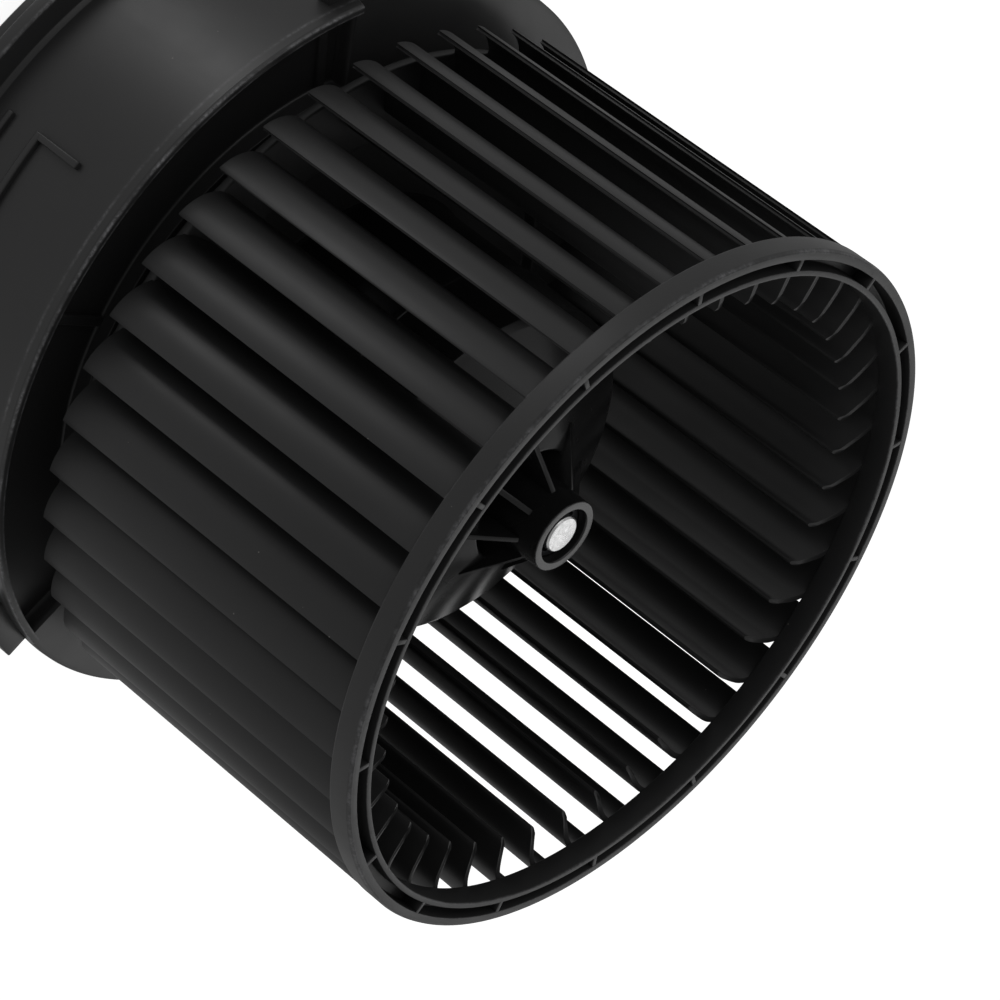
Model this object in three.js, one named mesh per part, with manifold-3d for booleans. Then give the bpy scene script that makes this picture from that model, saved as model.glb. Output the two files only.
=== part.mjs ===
// Blower motor wheel: a forward-curved squirrel-cage wheel on a permanent-magnet motor in a
// round plastic mounting base. Millimetres, +Z along the shaft towards the wheel's open mouth,
// origin at the centre of the flat rear face that the unit stands on.
import * as THREE from "three";
import { mergeVertices } from "three/addons/utils/BufferGeometryUtils.js";
import Module from "manifold-3d";

const wasm = await Module();
wasm.setup();

// ---------------------------------------------------------------- driving dimensions
const HEIGHT = 140; // rear face to the front face of the wheel's ring
const at = (depth) => HEIGHT - depth; // depth is measured back from the front ring's front face
const rad = (deg) => (deg * Math.PI) / 180;

// wheel
const TIP_R = 75.4; // blade tip and outer face of the front ring
const RING_W = 5.3; // axial width of the front ring
const RING_IN = 69.9; // bore of the front ring
const CHAN_IN = 71.1, CHAN_OUT = 73.3, CHAN_D = 4.0; // open channel in the ring's front face
const WEBS = 16, WEB_T = 1.0, WEB_AT = 6.1;
const BLADES = 42, BLADE_AT = 7.0, BLADE_END = 85.0; // first tip angle, depth of the rear ends
const ARC_X = 65.3, ARC_Y = 0.8, ARC_R = 10.0; // convex face: an arc about this point
const BLADE_T = 1.5; // thickness at mid-chord
const ARC_END = (-84 * Math.PI) / 180, INLET_X = 60.0, INLET_Y = -9.45; // end of the arc, inlet edge
const DISC_R = 69.5, DISC_D = 84.6; // rear disc
const DISH_R = 54.3, DISH_D = 87.0; // dished inner part of the rear disc
const CAP_R = 36.4, CAP_D = 44.4; // edge of the domed hub
const BOSS_R = 7.8, BOSS_D = 21.4, BOSS_BASE = 30.0;
const BORE_R = 4.1, SINK_R = 5.9, SINK_D = 24.4;
const GUSSETS = 8, GUSSET_AT = 72.3, GUSSET_T = 1.1;

// shaft and motor
const SHAFT_R = 4.0, SHAFT_TOP = at(21.9), SHAFT_END = 8.0;
const CAN_R = 32.0, CAN_IN = 30.2, CAN_TOP = 90.0, CAN_END = 14.0;
const NOSE_R = 9.6, NOSE_TOP = 93.4;
const BUSH_R = 8.0, BUSH_IN = 4.08;
const CORE_R = 22.5, CORE_LO = 38.0, CORE_HI = 72.0, SLOTS = 12;
const COMM_R = 9.2, COMM_LO = 18.6, COMM_HI = 29.0;
const MAG_IN = 23.6, MAG_OUT = 29.8, MAG_LO = 34.0, MAG_HI = 78.0, MAG_SPAN = 128;
const BRUSH_X = 9.6, BRUSH_L = 9.0, BRUSH_W = 6.0, BRUSH_H = 5.0, BRUSH_Z = 23.6;

// base
const PLATE_R = 81.1, PLATE_Z = at(93.6), PLATE_T = 2.8;
const DRUM_R = 81.0, DRUM_IN = 78.6, DRUM_END = 3.4;
const FLANGE_R = 87.4, FLANGE_Z = at(129.4), FLANGE_T = 3.2;
const SOCKET_IN = 35.2, SOCKET_OUT = 37.8, SOCKET_END = 12.4, LIP_R = 33.0;
const WELL_A0 = 26.0, WELL_A1 = 149.4, WELL_IN = 60.5, WELL_OUT = 79.6, WELL_Z = at(97.2);
const RIM_TOP = at(91.0);
const COVER_R = 80.8, COVER_T = 3.1;

// ---------------------------------------------------------------- solid helpers
function solid(geometry) {
  const g = geometry.clone();
  for (const k of Object.keys(g.attributes)) if (k !== "position") g.deleteAttribute(k);
  const m = mergeVertices(g, 1e-4);
  const src = m.index.array, tri = [];
  for (let i = 0; i < src.length; i += 3) {
    const [a, b, c] = [src[i], src[i + 1], src[i + 2]];
    if (a !== b && b !== c && c !== a) tri.push(a, b, c);
  }
  const make = (t) =>
    new wasm.Manifold(
      new wasm.Mesh({
        numProp: 3,
        vertProperties: new Float32Array(m.attributes.position.array),
        triVerts: new Uint32Array(t),
      }),
    );
  let s = make(tri);
  if (s.volume() < 0) {
    for (let i = 0; i < tri.length; i += 3) [tri[i + 1], tri[i + 2]] = [tri[i + 2], tri[i + 1]];
    s = make(tri);
  }
  return s;
}
// a closed profile of [radius, z] points turned about +Z
function turned(profile, segments = 48) {
  const pts = profile.map(([r, z]) => new THREE.Vector2(r, z));
  const onAxis = Math.abs(profile[0][0]) < 1e-9;
  if (!onAxis) pts.push(pts[0].clone());
  return solid(new THREE.LatheGeometry(pts, segments).rotateX(Math.PI / 2));
}
// an outline of [x, y] points raised from z0 to z1
function raised(outline, z0, z1, holes = []) {
  const s = new THREE.Shape(outline.map(([x, y]) => new THREE.Vector2(x, y)));
  for (const h of holes) s.holes.push(new THREE.Path(h.map(([x, y]) => new THREE.Vector2(x, y))));
  return solid(
    new THREE.ExtrudeGeometry(s, { depth: z1 - z0, bevelEnabled: false, steps: 1 }).translate(0, 0, z0),
  );
}
function ringSector(r0, r1, a0, a1, z0, z1, step = 6) {
  const n = Math.max(1, Math.ceil((a1 - a0) / step)), out = [], inn = [];
  for (let i = 0; i <= n; i++) {
    const a = rad(a0 + ((a1 - a0) * i) / n);
    out.push([r1 * Math.cos(a), r1 * Math.sin(a)]);
    inn.push([r0 * Math.cos(a), r0 * Math.sin(a)]);
  }
  return raised(out.concat(inn.reverse()), z0, z1);
}
function block(w, d, h, x, y, z, turn = 0) {
  return solid(new THREE.BoxGeometry(w, d, h).translate(x, y, z).rotateZ(rad(turn)));
}
function rod(r, z0, z1, x, y, segments = 20) {
  return solid(
    new THREE.CylinderGeometry(r, r, z1 - z0, segments).rotateX(Math.PI / 2).translate(x, y, (z0 + z1) / 2),
  );
}
const join = (list) => list.reduce((a, b) => a.add(b));
const polar = (r, a) => [r * Math.cos(rad(a)), r * Math.sin(rad(a))];

const part = new THREE.Group();
part.name = "blower_motor_wheel";
const MAT = {
  plastic: [0x2b2b2c, 0.42, 0], base: [0x2a2a2b, 0.5, 0], steel: [0xb9bcc0, 0.3, 1],
  zinc: [0xa9adb0, 0.38, 1], iron: [0x55585c, 0.55, 0.9], copper: [0xb4622e, 0.35, 1],
  bronze: [0x9a7a45, 0.45, 1], ferrite: [0x3b3d40, 0.8, 0], carbon: [0x26272a, 0.7, 0.1],
  rubber: [0x1a1a1b, 0.9, 0], phenolic: [0x5a3a22, 0.6, 0], brass: [0xc2a04c, 0.3, 1],
  natural: [0xcfc8b6, 0.55, 0], wire_red: [0x8a1f1a, 0.6, 0], wire_black: [0x171717, 0.6, 0],
};
function add(name, s, mat, parent = part) {
  const { vertProperties, triVerts, numProp } = s.getMesh();
  const pos = new Float32Array((vertProperties.length / numProp) * 3);
  for (let i = 0; i < pos.length / 3; i++)
    for (let k = 0; k < 3; k++) pos[i * 3 + k] = vertProperties[i * numProp + k];
  const g = new THREE.BufferGeometry();
  g.setAttribute("position", new THREE.BufferAttribute(pos, 3));
  g.setIndex(new THREE.BufferAttribute(new Uint32Array(triVerts), 1));
  g.computeVertexNormals();
  const [color, roughness, metalness] = MAT[mat];
  const mesh = new THREE.Mesh(g, new THREE.MeshStandardMaterial({ color, roughness, metalness }));
  mesh.name = name;
  parent.add(mesh);
  return mesh;
}
const rotor = new THREE.Group(), stator = new THREE.Group();
part.add(rotor, stator);

// ---------------------------------------------------------------- wheel
// Blade section: the convex face is an arc from the tip to mid-chord that runs out nearly
// straight to the inlet, the concave face follows it, so the blade is thickest at mid-chord.
function bladeOutline(n = 3) {
  const tip = Math.atan2(-ARC_Y, Math.sqrt(ARC_R ** 2 - ARC_Y ** 2));
  const convex = [], concave = [];
  for (let i = 0; i <= n; i++) {
    const f = i / n, a = tip + (ARC_END - tip) * f;
    const t = i === 0 ? 0.75 : BLADE_T * (0.72 + 0.28 * Math.sin((Math.PI * f) / 1.6));
    convex.push([ARC_X + ARC_R * Math.cos(a), ARC_Y + ARC_R * Math.sin(a)]);
    concave.push([ARC_X + (ARC_R - t) * Math.cos(a), ARC_Y + (ARC_R - t) * Math.sin(a)]);
  }
  convex.push([INLET_X, INLET_Y]);
  concave.push([INLET_X, INLET_Y + BLADE_T * 0.72]);
  return convex.concat(concave.reverse());
}
const outline = bladeOutline();
const blades = [];
for (let i = 0; i < BLADES; i++) {
  const a = rad(BLADE_AT + (i * 360) / BLADES), c = Math.cos(a), s = Math.sin(a);
  blades.push(raised(outline.map(([x, y]) => [x * c - y * s, x * s + y * c]), at(BLADE_END), at(RING_W - 0.5)));
}
const ring = turned([
  [RING_IN, at(RING_W)], [TIP_R, at(RING_W)], [TIP_R, at(0)],
  [CHAN_OUT, at(0)], [CHAN_OUT, at(CHAN_D)], [CHAN_IN, at(CHAN_D)], [CHAN_IN, at(0)], [RING_IN, at(0)],
], 48);
const webs = [];
for (let i = 0; i < WEBS; i++)
  webs.push(block(CHAN_OUT - CHAN_IN + 0.6, WEB_T, CHAN_D, (CHAN_IN + CHAN_OUT) / 2, 0, at(CHAN_D / 2 + 0.3), WEB_AT + (i * 360) / WEBS));
const disc = turned([
  [CAP_R - 0.6, at(DISH_D)], [DISH_R - 0.5, at(DISH_D)], [DISH_R + 0.3, at(DISC_D)], [DISC_R, at(DISC_D)],
  [DISC_R, at(DISC_D + 2)], [DISH_R + 1.2, at(DISC_D + 2)], [DISH_R + 0.6, at(DISH_D + 2)], [CAP_R - 0.6, at(DISH_D + 2)],
], 42);
const hub = turned([
  [BORE_R, at(SINK_D)], [SINK_R, at(SINK_D)], [SINK_R, at(BOSS_D)], [BOSS_R, at(BOSS_D)],
  [BOSS_R, at(BOSS_BASE)], [16, at(33.1)], [25, at(37.2)], [35.2, at(43.3)], [CAP_R, at(CAP_D + 0.5)],
  [CAP_R + 0.6, at(DISH_D + 2)], [CAP_R - 1.6, at(DISH_D + 2)], [CAP_R - 2.1, at(47.2)], [30, at(42.6)],
  [16, at(35.4)], [BOSS_R, at(32.4)], [BOSS_R, at(44.4)], [BORE_R, at(44.4)],
], 24);
const gussets = [];
for (let i = 0; i < GUSSETS; i++) {
  const profile = [[BOSS_R - 1.2, at(25.9)], [BOSS_R, at(25.9)], [17, at(33.2)], [16, at(34.0)], [BOSS_R - 1.2, at(31)]];
  const shape = new THREE.Shape(profile.map(([r, z]) => new THREE.Vector2(r, z)));
  const g = new THREE.ExtrudeGeometry(shape, { depth: GUSSET_T, bevelEnabled: false }).translate(0, 0, -GUSSET_T / 2);
  g.rotateX(Math.PI / 2).rotateZ(rad(GUSSET_AT + (i * 360) / GUSSETS));
  gussets.push(solid(g));
}
add("blower_wheel", join([hub, disc, ring, ...webs, ...gussets, ...blades]), "plastic", rotor);

// ---------------------------------------------------------------- rotating motor parts
add("motor_shaft", turned([
  [0, SHAFT_END], [SHAFT_R - 0.5, SHAFT_END], [SHAFT_R, SHAFT_END + 0.5], [SHAFT_R, SHAFT_TOP - 0.4],
  [SHAFT_R - 0.4, SHAFT_TOP], [0, SHAFT_TOP],
], 24), "steel", rotor);
{
  // toothed push-on ring with two raised grip tabs
  const inner = [];
  for (let i = 0; i < 24; i++) inner.push(polar(i % 4 < 2 ? 4.25 : 4.75, i * 15));
  const outer = [];
  for (let i = 0; i < 24; i++) outer.push(polar(5.6, i * 15));
  let clip = raised(outer, at(SINK_D - 0.3), at(SINK_D - 1.0), [inner.reverse()]);
  for (const a of [62, 112]) clip = clip.add(block(0.7, 2.0, 1.5, 5.15, 0, at(SINK_D - 1.5), a));
  add("wheel_retaining_clip", clip, "steel", rotor);
}
{
  const pts = [];
  for (let i = 0; i < SLOTS; i++) {
    const a = (i * 360) / SLOTS, w = 180 / SLOTS;
    for (const [r, da] of [[CORE_R, -w + 2.6], [CORE_R, 0], [CORE_R, w - 2.6], [20.6, w - 3.0], [19.6, w - 7.5], [12.2, w - 5.6]])
      pts.push(polar(r, a + da));
    pts.push(polar(11.0, a + w), polar(12.2, a + w + 5.6), polar(19.6, a + w + 7.5), polar(20.6, a + w + 3.0));
  }
  const bore = [];
  for (let i = 0; i < 24; i++) bore.push(polar(SHAFT_R + 0.12, i * 15));
  add("armature_core", raised(pts, CORE_LO, CORE_HI, [bore.reverse()]), "iron", rotor);
  const bars = [];
  for (let i = 0; i < SLOTS; i++) {
    const a = ((i + 0.5) * 360) / SLOTS;
    bars.push(raised([polar(12.9, a - 4.4), polar(12.9, a + 4.4), polar(18.9, a + 6.0), polar(18.9, a - 6.0)], CORE_LO - 3, CORE_HI + 3));
  }
  const head = (z0, z1) => turned([[8, z0], [16, z0], [19.6, z0 + (z1 - z0) * 0.4], [19.6, z0 + (z1 - z0) * 0.6], [16, z1], [8, z1]], 18);
  add("armature_windings", join([head(CORE_HI + 0.4, CORE_HI + 9), head(CORE_LO - 7.6, CORE_LO - 0.4), ...bars]), "copper", rotor);
}
{
  const pts = [];
  for (let i = 0; i < 12; i++)
    for (const [r, da] of [[COMM_R, -13.4], [COMM_R, 0], [COMM_R, 13.4], [COMM_R - 1, 13.6], [COMM_R - 1, 16.4]]) pts.push(polar(r, i * 30 + da));
  const bore = [];
  for (let i = 0; i < 24; i++) bore.push(polar(SHAFT_R + 0.12, i * 15));
  add("commutator", raised(pts, COMM_LO, COMM_HI, [bore.reverse()]), "copper", rotor);
}
const washer = (name, r0, r1, z0, z1, mat, parent) => add(name, turned([[r0, z0], [r1, z0], [r1, z1], [r0, z1]], 24), mat, parent);
washer("front_thrust_washer", 4.1, 6.6, 84.6, 85.8, "natural", rotor);
washer("rear_thrust_washer", 4.1, 6.6, 14.6, 15.6, "natural", rotor);

// ---------------------------------------------------------------- motor housing
add("motor_can", turned([
  [CAN_R, CAN_END], [CAN_R, CAN_TOP - 2], [CAN_R - 2, CAN_TOP], [NOSE_R + 0.6, CAN_TOP], [NOSE_R, CAN_TOP + 0.6],
  [NOSE_R, NOSE_TOP], [5.6, NOSE_TOP], [5.6, NOSE_TOP - 1.2], [BUSH_R + 0.1, NOSE_TOP - 1.2], [BUSH_R + 0.1, CAN_TOP - 1.8],
  [CAN_IN, CAN_TOP - 1.8], [CAN_IN, CAN_END],
], 32), "zinc", stator);
washer("front_bearing", BUSH_IN, BUSH_R, 86.9, 92.0, "bronze", stator);
washer("front_bearing_retainer", 5.0, 13.0, 86.0, 86.7, "steel", stator);
for (const [i, a] of [[1, 90], [2, 270]]) {
  add("magnet_" + i, ringSector(MAG_IN, MAG_OUT, a - MAG_SPAN / 2, a + MAG_SPAN / 2, MAG_LO, MAG_HI, 8), "ferrite", stator);
  // springs sit in the gaps between the two magnets
  const b = a - 90, e = 90 - MAG_SPAN / 2 - 1.5;
  const pts = [];
  for (const d of [-e, -e * 0.4, e * 0.4, e]) pts.push(polar(29.8, b + d));
  pts.push(polar(24.6, b + e), polar(24.6, b + e - 2.2));
  pts.push(polar(28.9, b + e - 2.4), polar(28.9, b + e * 0.3), polar(28.9, b - e * 0.3), polar(28.9, b - e + 2.4));
  pts.push(polar(24.6, b - e + 2.2), polar(24.6, b - e));
  add("magnet_spring_" + i, raised(pts, MAG_LO + 3, MAG_HI - 3), "steel", stator);
}
{
  // end cap with a bearing pocket and three ears that bolt to the base
  let cap = turned([
    [0, 4.6], [10.6, 4.6], [11.4, 5.4], [12.2, 9.4], [CAN_R, 9.4], [CAN_R, 13.6], [CAN_IN - 0.8, 13.6], [CAN_IN - 0.8, 12.2],
    [BUSH_R + 0.1, 12.2], [BUSH_R + 0.1, 6.4], [0, 6.4],
  ], 24);
  for (const a of [30, 150, 270]) {
    const [x, y] = polar(42.2, a);
    cap = cap.add(block(14, 9, 2.6, 36.5, 0, 10.7, a)).add(rod(4.5, 9.4, 12.0, x, y, 16)).subtract(rod(2.0, 8, 14, x, y, 10));
  }
  add("end_cap", cap, "zinc", stator);
}
washer("rear_bearing", BUSH_IN, BUSH_R, 8.3, 13.4, "bronze", stator);
washer("rear_bearing_retainer", 5.0, 11.5, 13.6, 14.2, "steel", stator);
add("thrust_pad", rod(3.6, 6.7, 7.6, 0, 0, 24), "natural", stator);

// ---------------------------------------------------------------- brush gear
{
  let plate = turned([[11.4, 15.9], [29.6, 15.9], [29.6, 17.7], [11.4, 17.7]], 30);
  add("brush_plate", plate, "phenolic", stator);
}
for (const [i, a] of [[1, 0], [2, 180]]) {
  const side = new THREE.Group();
  const t = 0.5, w = BRUSH_W + 0.6 + 2 * t, h = BRUSH_H + 0.6 + 2 * t, x0 = 11.8, x1 = 28.4;
  const tube = block(x1 - x0, w, h, (x0 + x1) / 2, 0, BRUSH_Z, a)
    .subtract(block(x1 - x0, w - 2 * t, h - 2 * t, (x0 + x1) / 2 - t, 0, BRUSH_Z, a))
    .add(block(10, 2.4, BRUSH_Z - h / 2 - 17.9 + 0.2, 20, 0, (BRUSH_Z - h / 2 + 18.1) / 2, a));
  add("brush_holder_" + i, tube, "brass", side);
  add("carbon_brush_" + i, block(BRUSH_L, BRUSH_W, BRUSH_H, BRUSH_X + BRUSH_L / 2, 0, BRUSH_Z, a), "carbon", side);
  // coil spring behind the brush, turned as a hollow sleeve of its outer size
  const x2 = BRUSH_X + BRUSH_L + 0.3, x3 = x1 - 2 * t - 0.2;
  const sleeve = turned([[1.3, x2], [2.1, x2], [2.1, x3], [1.3, x3]], 14);
  const m = sleeve.rotate([0, 90, 0]).rotate([0, 0, a]).translate([0, 0, BRUSH_Z]);
  add("brush_spring_" + i, m, "steel", side);
  stator.add(side);
}
for (const [i, a] of [[1, 55], [2, 235]]) {
  const [x, y] = polar(21.5, a);
  const choke = turned([[0, -7], [1.5, -7], [1.5, -5.4], [3.0, -5.4], [3.0, 5.4], [1.5, 5.4], [1.5, 7], [0, 7]], 10)
    .rotate([90, 0, 0]).rotate([0, 0, a]).translate([x, y, 21.4]);
  add("choke_" + i, choke, "copper", stator);
}

// ---------------------------------------------------------------- rubber mounts
for (const [name, z] of [["front_isolation_ring", 36.8], ["rear_isolation_ring", 17.0]])
  add(name, turned([[32.3, z], [34.8, z], [34.8, z + 6.4], [32.3, z + 6.4]], 36), "rubber", stator);

// ---------------------------------------------------------------- mounting base
{
  const plateLo = PLATE_Z - PLATE_T;
  let body = turned([
    [LIP_R, plateLo], [LIP_R, PLATE_Z], [PLATE_R, PLATE_Z], [PLATE_R, PLATE_Z - 1.5], [DRUM_R, PLATE_Z - 1.6],
    [DRUM_R, FLANGE_Z], [FLANGE_R, FLANGE_Z], [FLANGE_R, FLANGE_Z - FLANGE_T], [DRUM_R, FLANGE_Z - FLANGE_T],
    [DRUM_R, DRUM_END], [DRUM_IN, DRUM_END], [DRUM_IN, plateLo], [SOCKET_OUT, plateLo], [SOCKET_OUT, SOCKET_END],
    [SOCKET_IN, SOCKET_END], [SOCKET_IN, plateLo],
  ], 48);
  // crescent well behind the blades, with a raised outer rim
  body = body
    .subtract(ringSector(WELL_IN, WELL_OUT, WELL_A0, WELL_A1, WELL_Z, PLATE_Z + 5, 7.5))
    .add(ringSector(WELL_IN - 1.6, DRUM_IN + 1, WELL_A0 - 1.6, WELL_A1 + 1.6, WELL_Z - 2.2, WELL_Z, 7.5))
    .add(ringSector(WELL_IN - 1.6, WELL_IN, WELL_A0 - 1.6, WELL_A1 + 1.6, WELL_Z - 2.2, plateLo + 0.5, 7.5))
    .add(ringSector(WELL_OUT, PLATE_R + 0.3, WELL_A0 - 1.2, WELL_A1 + 1.2, plateLo, RIM_TOP, 7.5))
    .add(ringSector(WELL_IN - 1.6, DRUM_IN + 1, WELL_A0 - 1.6, WELL_A0, WELL_Z - 2.2, plateLo + 0.5, 7.5))
    .add(ringSector(WELL_IN - 1.6, DRUM_IN + 1, WELL_A1, WELL_A1 + 1.6, WELL_Z - 2.2, plateLo + 0.5, 7.5));
  // bayonet lugs, stiffening ribs on the drum, inner webs
  for (const a of [20, 140, 260]) body = body.add(ringSector(DRUM_R - 1, 85.8, a, a + 10.5, at(98.4), at(95.2), 5.3));
  body = body
    .add(block(2.4, 1.5, 10.8, DRUM_R, 0, at(109.9), 70.2))
    .add(ringSector(DRUM_R - 1, DRUM_R + 1.1, 69.7, 104, at(116.4), at(114.9), 7))
    .add(ringSector(DRUM_R - 1, DRUM_R + 1.1, 69.7, 104, at(124.6), at(123.2), 7));
  for (const a of [0, 60, 120, 180, 240, 300])
    body = body.add(block(DRUM_IN - SOCKET_OUT + 2, 2.0, 26, (DRUM_IN + SOCKET_OUT) / 2, 0, plateLo - 12.5, a + 30));
  // posts for the motor screws and the cover screws
  for (const a of [30, 150, 270]) {
    const [x, y] = polar(42.2, a);
    body = body.add(rod(4.6, SOCKET_END, plateLo + 0.5, x, y, 12)).subtract(rod(1.9, SOCKET_END - 1, 26, x, y, 8));
  }
  for (const a of [0, 60, 120, 180, 240, 300]) {
    const [x, y] = polar(73.6, a);
    body = body.add(rod(4.2, DRUM_END, plateLo - 3.5, x, y, 10)).add(block(6, 3, plateLo - 3.5 - DRUM_END, 76.5, 0, (plateLo - 3.5 + DRUM_END) / 2, a))
      .subtract(rod(1.9, DRUM_END - 1, 16, x, y, 8));
  }
  add("mounting_base", body, "base", stator);
}

// ---------------------------------------------------------------- rear cover and connector
const CON_A = 285, CON_R = 56, CON_W = 23.0, CON_D = 14.6;
const [conX, conY] = polar(CON_R, CON_A);
const conBox = (w, d, z0, z1) =>
  solid(new THREE.BoxGeometry(w, d, z1 - z0).translate(conX, conY, (z0 + z1) / 2));
{
  let cover = turned([
    [0, 0], [COVER_R - 0.8, 0], [COVER_R, 0.8], [COVER_R, COVER_T], [0, COVER_T],
  ], 48);
  cover = cover.subtract(turned([[18, -1], [44, -1], [44, 0.8], [18, 0.8]], 24));
  for (let i = 0; i < 12; i++) cover = cover.subtract(block(12, 2.6, 6, 31, 0, 1.5, i * 30 + 15));
  for (const a of [0, 60, 120, 180, 240, 300]) {
    const [x, y] = polar(73.6, a);
    cover = cover.subtract(rod(4.0, -1, 1.9, x, y, 14)).subtract(rod(1.9, -1, 5, x, y, 8));
  }
  cover = cover.subtract(conBox(CON_W + 0.6, CON_D + 0.6, -1, 5));
  add("rear_cover", cover, "base", stator);
}
{
  let shell = conBox(CON_W, CON_D, 0.3, 19.0).add(conBox(CON_W + 4, CON_D + 4, COVER_T + 0.3, COVER_T + 1.8))
    .subtract(conBox(CON_W - 3.2, CON_D - 3.2, -1, 16.4));
  for (const s of [-5, 5]) {
    shell = shell.subtract(solid(new THREE.BoxGeometry(6.9, 1.4, 6).translate(conX + s, conY, 18)));
  }
  add("connector_housing", shell, "natural", stator);
  for (const [name, s] of [["terminal_positive", -5], ["terminal_negative", 5]]) {
    add(name, solid(new THREE.BoxGeometry(6.3, 0.8, 20).translate(conX + s, conY, 14)), "brass", stator);
  }
}
// internal leads from the terminals to the motor's end cap
for (const [name, s, end] of [["lead_positive", -5, 290], ["lead_negative", 5, 310]]) {
  const [ex, ey] = polar(1, end);
  const [mx, my] = polar(46.5, (end + CON_A) / 2 + (s < 0 ? -2 : 2));
  const path = new THREE.CatmullRomCurve3([
    new THREE.Vector3(conX + s, conY, 24.4), new THREE.Vector3(conX + s, conY, 28.0),
    new THREE.Vector3(mx, my, 26.5), ...[[41, 20], [40.4, 13.2], [37.6, 10.2], [33.2, 10.2]].map(([r, z]) => new THREE.Vector3(ex * r, ey * r, z)),
  ]);
  const c = [];
  for (let i = 0; i < 6; i++) c.push(new THREE.Vector2(1.1 * Math.cos(rad(i * 60)), 1.1 * Math.sin(rad(i * 60))));
  add(name, solid(new THREE.ExtrudeGeometry(new THREE.Shape(c), { extrudePath: path, steps: 10, bevelEnabled: false })), s < 0 ? "wire_red" : "wire_black", stator);
}

// ---------------------------------------------------------------- screws
const screw = (name, x, y, z, headR, headH, shank) =>
  add(name, rod(headR, z - headH, z, x, y, 12).add(rod(1.6, z - 0.2, z + shank, x, y, 6)).subtract(block(2.4, 0.8, 1.2, x, y, z - headH).add(block(0.8, 2.4, 1.2, x, y, z - headH))), "zinc", stator);
[30, 150, 270].forEach((a, i) => { const [x, y] = polar(42.2, a); screw("motor_screw_" + (i + 1), x, y, 9.1, 3.6, 2.4, 14); });
[0, 60, 120, 180, 240, 300].forEach((a, i) => { const [x, y] = polar(73.6, a); screw("cover_screw_" + (i + 1), x, y, 1.6, 3.4, 1.4, 12); });

export default part;
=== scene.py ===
import math

import bmesh
import bpy
from mathutils import Matrix, Vector


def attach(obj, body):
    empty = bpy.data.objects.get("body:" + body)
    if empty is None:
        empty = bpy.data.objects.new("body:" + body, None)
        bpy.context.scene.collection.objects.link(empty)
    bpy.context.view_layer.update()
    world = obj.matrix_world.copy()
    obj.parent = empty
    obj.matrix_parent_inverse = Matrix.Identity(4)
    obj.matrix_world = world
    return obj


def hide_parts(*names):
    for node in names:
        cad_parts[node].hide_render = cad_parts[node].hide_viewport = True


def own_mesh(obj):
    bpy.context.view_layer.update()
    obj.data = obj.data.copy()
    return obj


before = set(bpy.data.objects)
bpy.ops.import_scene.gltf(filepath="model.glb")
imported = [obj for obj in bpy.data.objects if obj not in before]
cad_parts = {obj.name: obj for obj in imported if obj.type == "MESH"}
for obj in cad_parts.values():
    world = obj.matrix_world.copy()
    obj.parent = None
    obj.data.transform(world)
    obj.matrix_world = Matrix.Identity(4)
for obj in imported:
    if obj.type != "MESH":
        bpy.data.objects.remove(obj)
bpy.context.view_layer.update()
MM = 0.001
HEIGHT = 140.0


def at(depth):
    """Height of a point measured back from the ring's front face, in mm."""
    return HEIGHT - depth


def polar(r, a):
    return (r * math.cos(math.radians(a)), r * math.sin(math.radians(a)))


# ------------------------------------------------------------------ mesh helpers
def fillet(points, closed=True, steps=4, fixed=False):
    """Rounds the corners of an outline of (x, y) or (x, y, radius) points. With fixed, a straight corner gets as many points as a bent one."""
    n = len(points)
    out = []
    for i, p in enumerate(points):
        r = p[2] if len(p) > 2 else 0.0
        if r <= 0 or (not closed and i in (0, n - 1)):
            out.append((p[0], p[1]))
            continue
        a, b, c = Vector(points[i - 1][:2]), Vector(p[:2]), Vector(points[(i + 1) % n][:2])
        u, v = (a - b), (c - b)
        lu, lv = u.length, v.length
        u.normalize()
        v.normalize()
        phi = u.angle(v)
        if phi > math.pi - 0.02 or phi < 0.02:
            if fixed:
                t = min(r, 0.3 * lu, 0.3 * lv)
                for k in range(steps + 1):
                    f = 1 - 2 * k / steps
                    w = b + (u * (t * f) if f > 0 else v * (-t * f))
                    out.append((w.x, w.y))
            else:
                out.append((p[0], p[1]))
            continue
        t = min(r / math.tan(phi / 2), 0.48 * lu, 0.48 * lv)
        re = t * math.tan(phi / 2)
        centre = b + (u + v).normalized() * (re / math.sin(phi / 2))
        s, e = b + u * t - centre, b + v * t - centre
        sweep = s.angle_signed(e)
        for k in range(steps + 1):
            w = Matrix.Rotation(-sweep * k / steps, 2) @ s
            out.append((centre.x + w.x, centre.y + w.y))
    return out


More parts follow.
